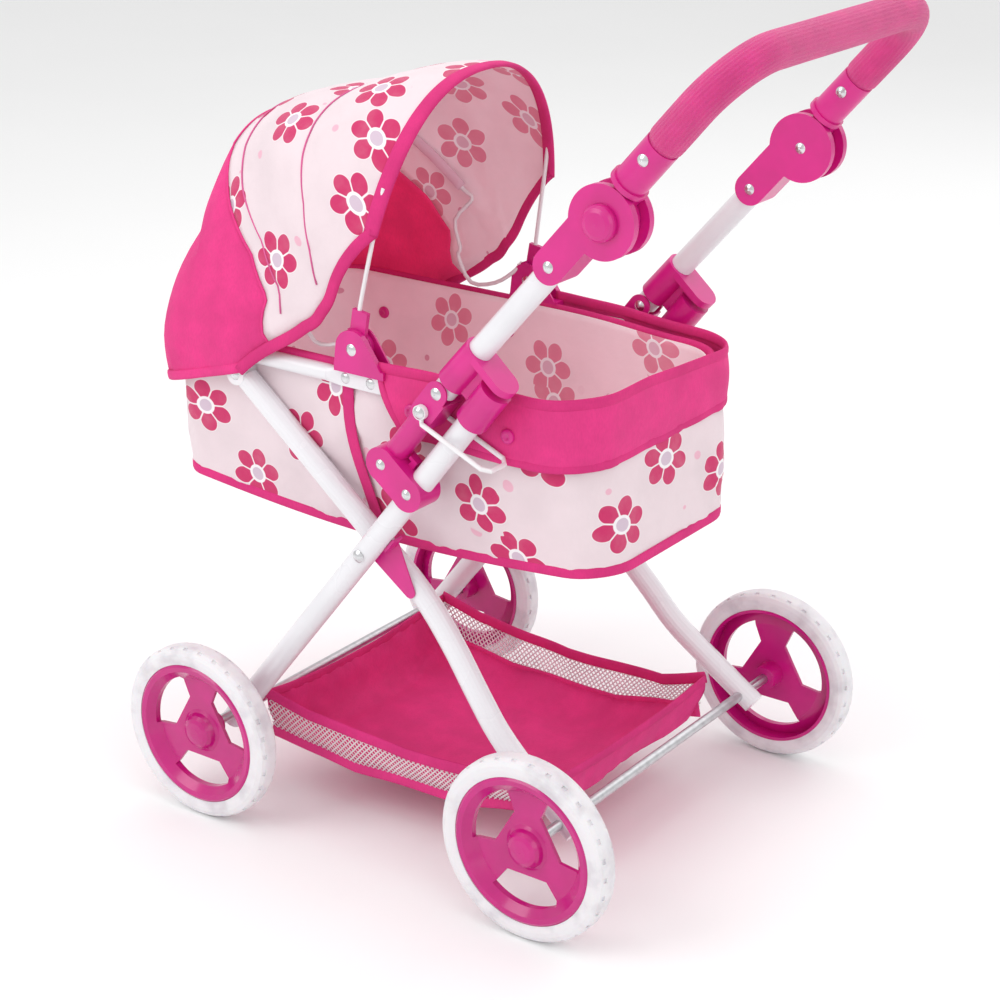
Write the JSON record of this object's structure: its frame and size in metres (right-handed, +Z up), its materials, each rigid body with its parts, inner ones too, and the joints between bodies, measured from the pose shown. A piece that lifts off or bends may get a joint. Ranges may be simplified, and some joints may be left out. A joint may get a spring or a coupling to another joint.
{
  "type": "doll stroller",
  "caption": "Folding doll stroller with a soft carriage, a fan hood, a mesh basket, spoked wheels and a tilting foam grip handle.",
  "frame": {"origin": "on the floor under the middle of the stroller's box", "axes": "+Z up, +X towards the person who pushes, Y across; left is the -Y side as that person sees it"},
  "size_m": [0.5562, 0.38, 0.6614],
  "materials": {
    "white_tube": "gloss white powder coat",
    "plastic_magenta": "gloss",
    "plastic_white": "satin",
    "steel": "zinc plated",
    "foam": "matte closed-cell foam",
    "fabric_pink": "woven polyester",
    "fabric_print": "woven polyester, flower print"
  },
  "bodies": {
    "frame": {"main_tube_left": "white_tube", "main_tube_right": "white_tube", "lower_bracket_left": "plastic_magenta", "lower_bracket_right": "plastic_magenta", "hinge_post_left": "white_tube", "hinge_post_right": "white_tube", "frame_rivets": "steel", "bracket_screws": "steel", "front_axle": "steel", "basket": "fabric_pink"},
    "rear_legs": {"rear_leg_left": "white_tube", "rear_leg_right": "white_tube", "rear_axle": "steel", "stop_plates": "plastic_white", "leg_rivets": "steel", "leg_caps": "plastic_white"},
    "wheel_fl": {"tyre_front_left": "plastic_white", "rim_front_left": "plastic_magenta"},
    "wheel_fr": {"tyre_front_right": "plastic_white", "rim_front_right": "plastic_magenta"},
    "wheel_rl": {"tyre_rear_left": "plastic_white", "rim_rear_left": "plastic_magenta"},
    "wheel_rr": {"tyre_rear_right": "plastic_white", "rim_rear_right": "plastic_magenta"},
    "carriage": {"rail_left": "white_tube", "rail_right": "white_tube", "rim_hoop": "white_tube", "front_hoop": "white_tube", "rail_rivets": "steel", "bassinet": "fabric_print", "base_board": "fabric_print", "apron": "fabric_pink", "hood_hinge_left": "plastic_magenta", "hood_hinge_right": "plastic_magenta", "hood_pins": "steel", "hood_panel": "fabric_pink"},
    "hood_front": {"front_bow": "white_tube", "bow_sockets": "plastic_magenta", "hood_gore_rear": "fabric_print"},
    "hood_mid": {"mid_bow": "white_tube", "mid_lugs": "plastic_magenta", "hood_gore_mid": "fabric_print"},
    "handle": {"handle_tube_left": "white_tube", "handle_tube_right": "white_tube", "lower_arm_left": "plastic_magenta", "lower_arm_right": "plastic_magenta", "tilt_pins": "steel"},
    "grip": {"upper_arm_left": "plastic_magenta", "upper_arm_right": "plastic_magenta", "grip_tube": "white_tube", "foam_grip": "foam", "grip_screws": "steel"},
    "collar_l": {"collar_left": "plastic_magenta"},
    "collar_r": {"collar_right": "plastic_magenta"},
    "button_l": {"button_left": "plastic_magenta"},
    "button_r": {"button_right": "plastic_magenta"},
    "bail_l": {"bail_left": "steel"},
    "bail_r": {"bail_right": "steel"}
  },
  "joints": [
    {"name": "wheel_fl_spin", "type": "hinge", "parent": "frame", "child": "wheel_fl", "pos_m": [-0.1756, -0.18, 0.0725], "axis": [0, 1, 0], "continuous": true},
    {"name": "wheel_fr_spin", "type": "hinge", "parent": "frame", "child": "wheel_fr", "pos_m": [-0.1756, 0.18, 0.0725], "axis": [0, 1, 0], "continuous": true},
    {"name": "wheel_rl_spin", "type": "hinge", "parent": "rear_legs", "child": "wheel_rl", "pos_m": [0.1414, -0.18, 0.0725], "axis": [0, 1, 0], "continuous": true},
    {"name": "wheel_rr_spin", "type": "hinge", "parent": "rear_legs", "child": "wheel_rr", "pos_m": [0.1414, 0.18, 0.0725], "axis": [0, 1, 0], "continuous": true},
    {"name": "frame_fold", "type": "hinge", "parent": "frame", "child": "rear_legs", "pos_m": [-0.04036, 0, 0.24374], "axis": [0, 1, 0], "range_deg": [0, 30]},
    {"name": "carriage_tilt", "type": "hinge", "parent": "frame", "child": "carriage", "pos_m": [0.02351, 0, 0.3727], "axis": [0, 1, 0], "range_deg": [0, 23.4]},
    {"name": "hood_fold", "type": "hinge", "parent": "carriage", "child": "hood_front", "pos_m": [-0.0621, 0, 0.396], "axis": [0, -1, 0], "range_deg": [0, 62]},
    {"name": "hood_mid_fold", "type": "hinge", "parent": "carriage", "child": "hood_mid", "pos_m": [-0.0621, 0, 0.396], "axis": [0, -1, 0], "range_deg": [0, 31]},
    {"name": "handle_fold", "type": "hinge", "parent": "frame", "child": "handle", "pos_m": [0.03566, 0, 0.38809], "axis": [0, -1, 0], "range_deg": [0, 88]},
    {"name": "handle_tilt", "type": "hinge", "parent": "handle", "child": "grip", "pos_m": [0.17361, 0, 0.53443], "axis": [0, 1, 0], "range_deg": [-60, 60]},
    {"name": "collar_l_slide", "type": "slide", "parent": "handle", "child": "collar_l", "axis": [0.6613, 0, 0.7501], "range_m": [0, 0.04]},
    {"name": "button_l_press", "type": "slide", "parent": "handle", "child": "button_l", "axis": [0, 1, 0], "range_m": [0, 0.003], "stiffness_N_per_m": 400, "springref_m": -0.002},
    {"name": "bail_l_swing", "type": "hinge", "parent": "frame", "child": "bail_l", "pos_m": [0.02351, -0.1345, 0.3727], "axis": [0, -1, 0], "range_deg": [-45, 20]},
    {"name": "collar_r_slide", "type": "slide", "parent": "handle", "child": "collar_r", "axis": [0.6613, 0, 0.7501], "range_m": [0, 0.04]},
    {"name": "button_r_press", "type": "slide", "parent": "handle", "child": "button_r", "axis": [0, -1, 0], "range_m": [0, 0.003], "stiffness_N_per_m": 400, "springref_m": -0.002},
    {"name": "bail_r_swing", "type": "hinge", "parent": "frame", "child": "bail_r", "pos_m": [0.02351, 0.1345, 0.3727], "axis": [0, -1, 0], "range_deg": [-45, 20]}
  ],
  "couplings": [
    {"joint": "carriage_tilt", "follows": "frame_fold", "ratio": 0.78},
    {"joint": "hood_mid_fold", "follows": "hood_fold", "ratio": 0.5}
  ]
}
